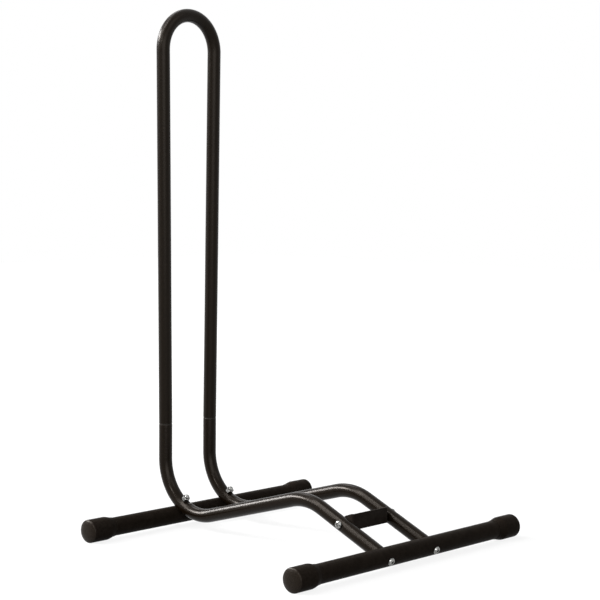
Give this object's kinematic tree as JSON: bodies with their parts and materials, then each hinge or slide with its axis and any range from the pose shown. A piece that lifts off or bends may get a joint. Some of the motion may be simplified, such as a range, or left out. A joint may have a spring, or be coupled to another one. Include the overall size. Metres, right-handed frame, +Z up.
{
  "type": "bicycle parking stand",
  "caption": "Freestanding floor stand: a tall narrow tube hoop on bent side tubes and capped crossbars holds a bicycle wheel upright.",
  "frame": {"origin": "on the floor, midway between the stand's front and back and under the middle of the front crossbar", "axes": "+Z up along the hoop, +Y from the front crossbar towards the hoop, +X to the right seen from the front"},
  "size_m": [0.4572, 0.4356, 0.7376],
  "materials": {
    "powder_coat": "fine-textured black powder coat, semi-matte",
    "cap_plastic": "moulded black plastic, soft sheen",
    "zinc_plate": "bright zinc plate",
    "plain_steel": "plain turned steel"
  },
  "bodies": {
    "base": {"left_side_tube": "powder_coat", "right_side_tube": "powder_coat", "front_crossbar": "powder_coat", "rear_crossbar": "powder_coat", "bridge_bracket": "powder_coat", "front_left_cap": "cap_plastic", "front_right_cap": "cap_plastic", "rear_left_cap": "cap_plastic", "rear_right_cap": "cap_plastic", "rear_bolt_left": "zinc_plate", "rear_bolt_right": "zinc_plate", "rear_nut_left": "zinc_plate", "rear_nut_right": "zinc_plate", "front_bolt_left": "zinc_plate", "front_bolt_right": "zinc_plate", "bridge_bolt_left": "zinc_plate", "bridge_bolt_right": "zinc_plate", "bridge_nut_left": "zinc_plate", "bridge_nut_right": "zinc_plate", "front_plug_left": "plain_steel", "front_plug_right": "plain_steel"},
    "hoop": {"upper_hoop": "powder_coat"}
  },
  "joints": [
    {"name": "hoop_lift", "type": "slide", "parent": "base", "child": "hoop", "axis": [0, 0, 1], "range_m": [0, 0.06]}
  ]
}
